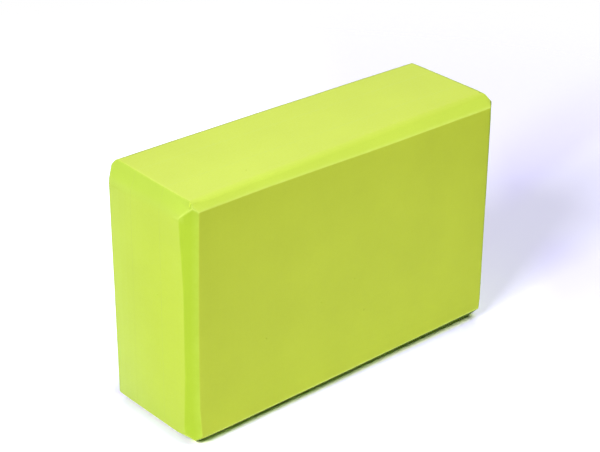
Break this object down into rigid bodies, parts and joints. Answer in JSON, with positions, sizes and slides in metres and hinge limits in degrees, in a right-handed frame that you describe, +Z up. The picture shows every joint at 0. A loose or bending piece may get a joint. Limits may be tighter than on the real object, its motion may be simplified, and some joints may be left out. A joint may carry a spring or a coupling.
{
  "type": "yoga block",
  "caption": "Lime-green foam yoga block with bevelled edges, laminated from flat foam sheets, that supports a hand, foot, hip or back at one of its standing heights.",
  "frame": {"origin": "middle of the bounding box's bottom, on the long narrow side that the block stands on", "axes": "+X along the length, away from the end that the picture shows; +Y through the thickness, from the broad face that the picture shows to the hidden one; +Z up"},
  "size_m": [0.23, 0.075, 0.15],
  "materials": {
    "foam": "matt closed-cell foam, lime green, with fine pores and lighter rubbed arrises",
    "bond": "thin dull glue film of nearly the foam's own colour"
  },
  "bodies": {
    "root": {"front_ply": "foam", "middle_ply": "foam", "back_ply": "foam", "front_bond": "bond", "rear_bond": "bond"}
  },
  "joints": []
}
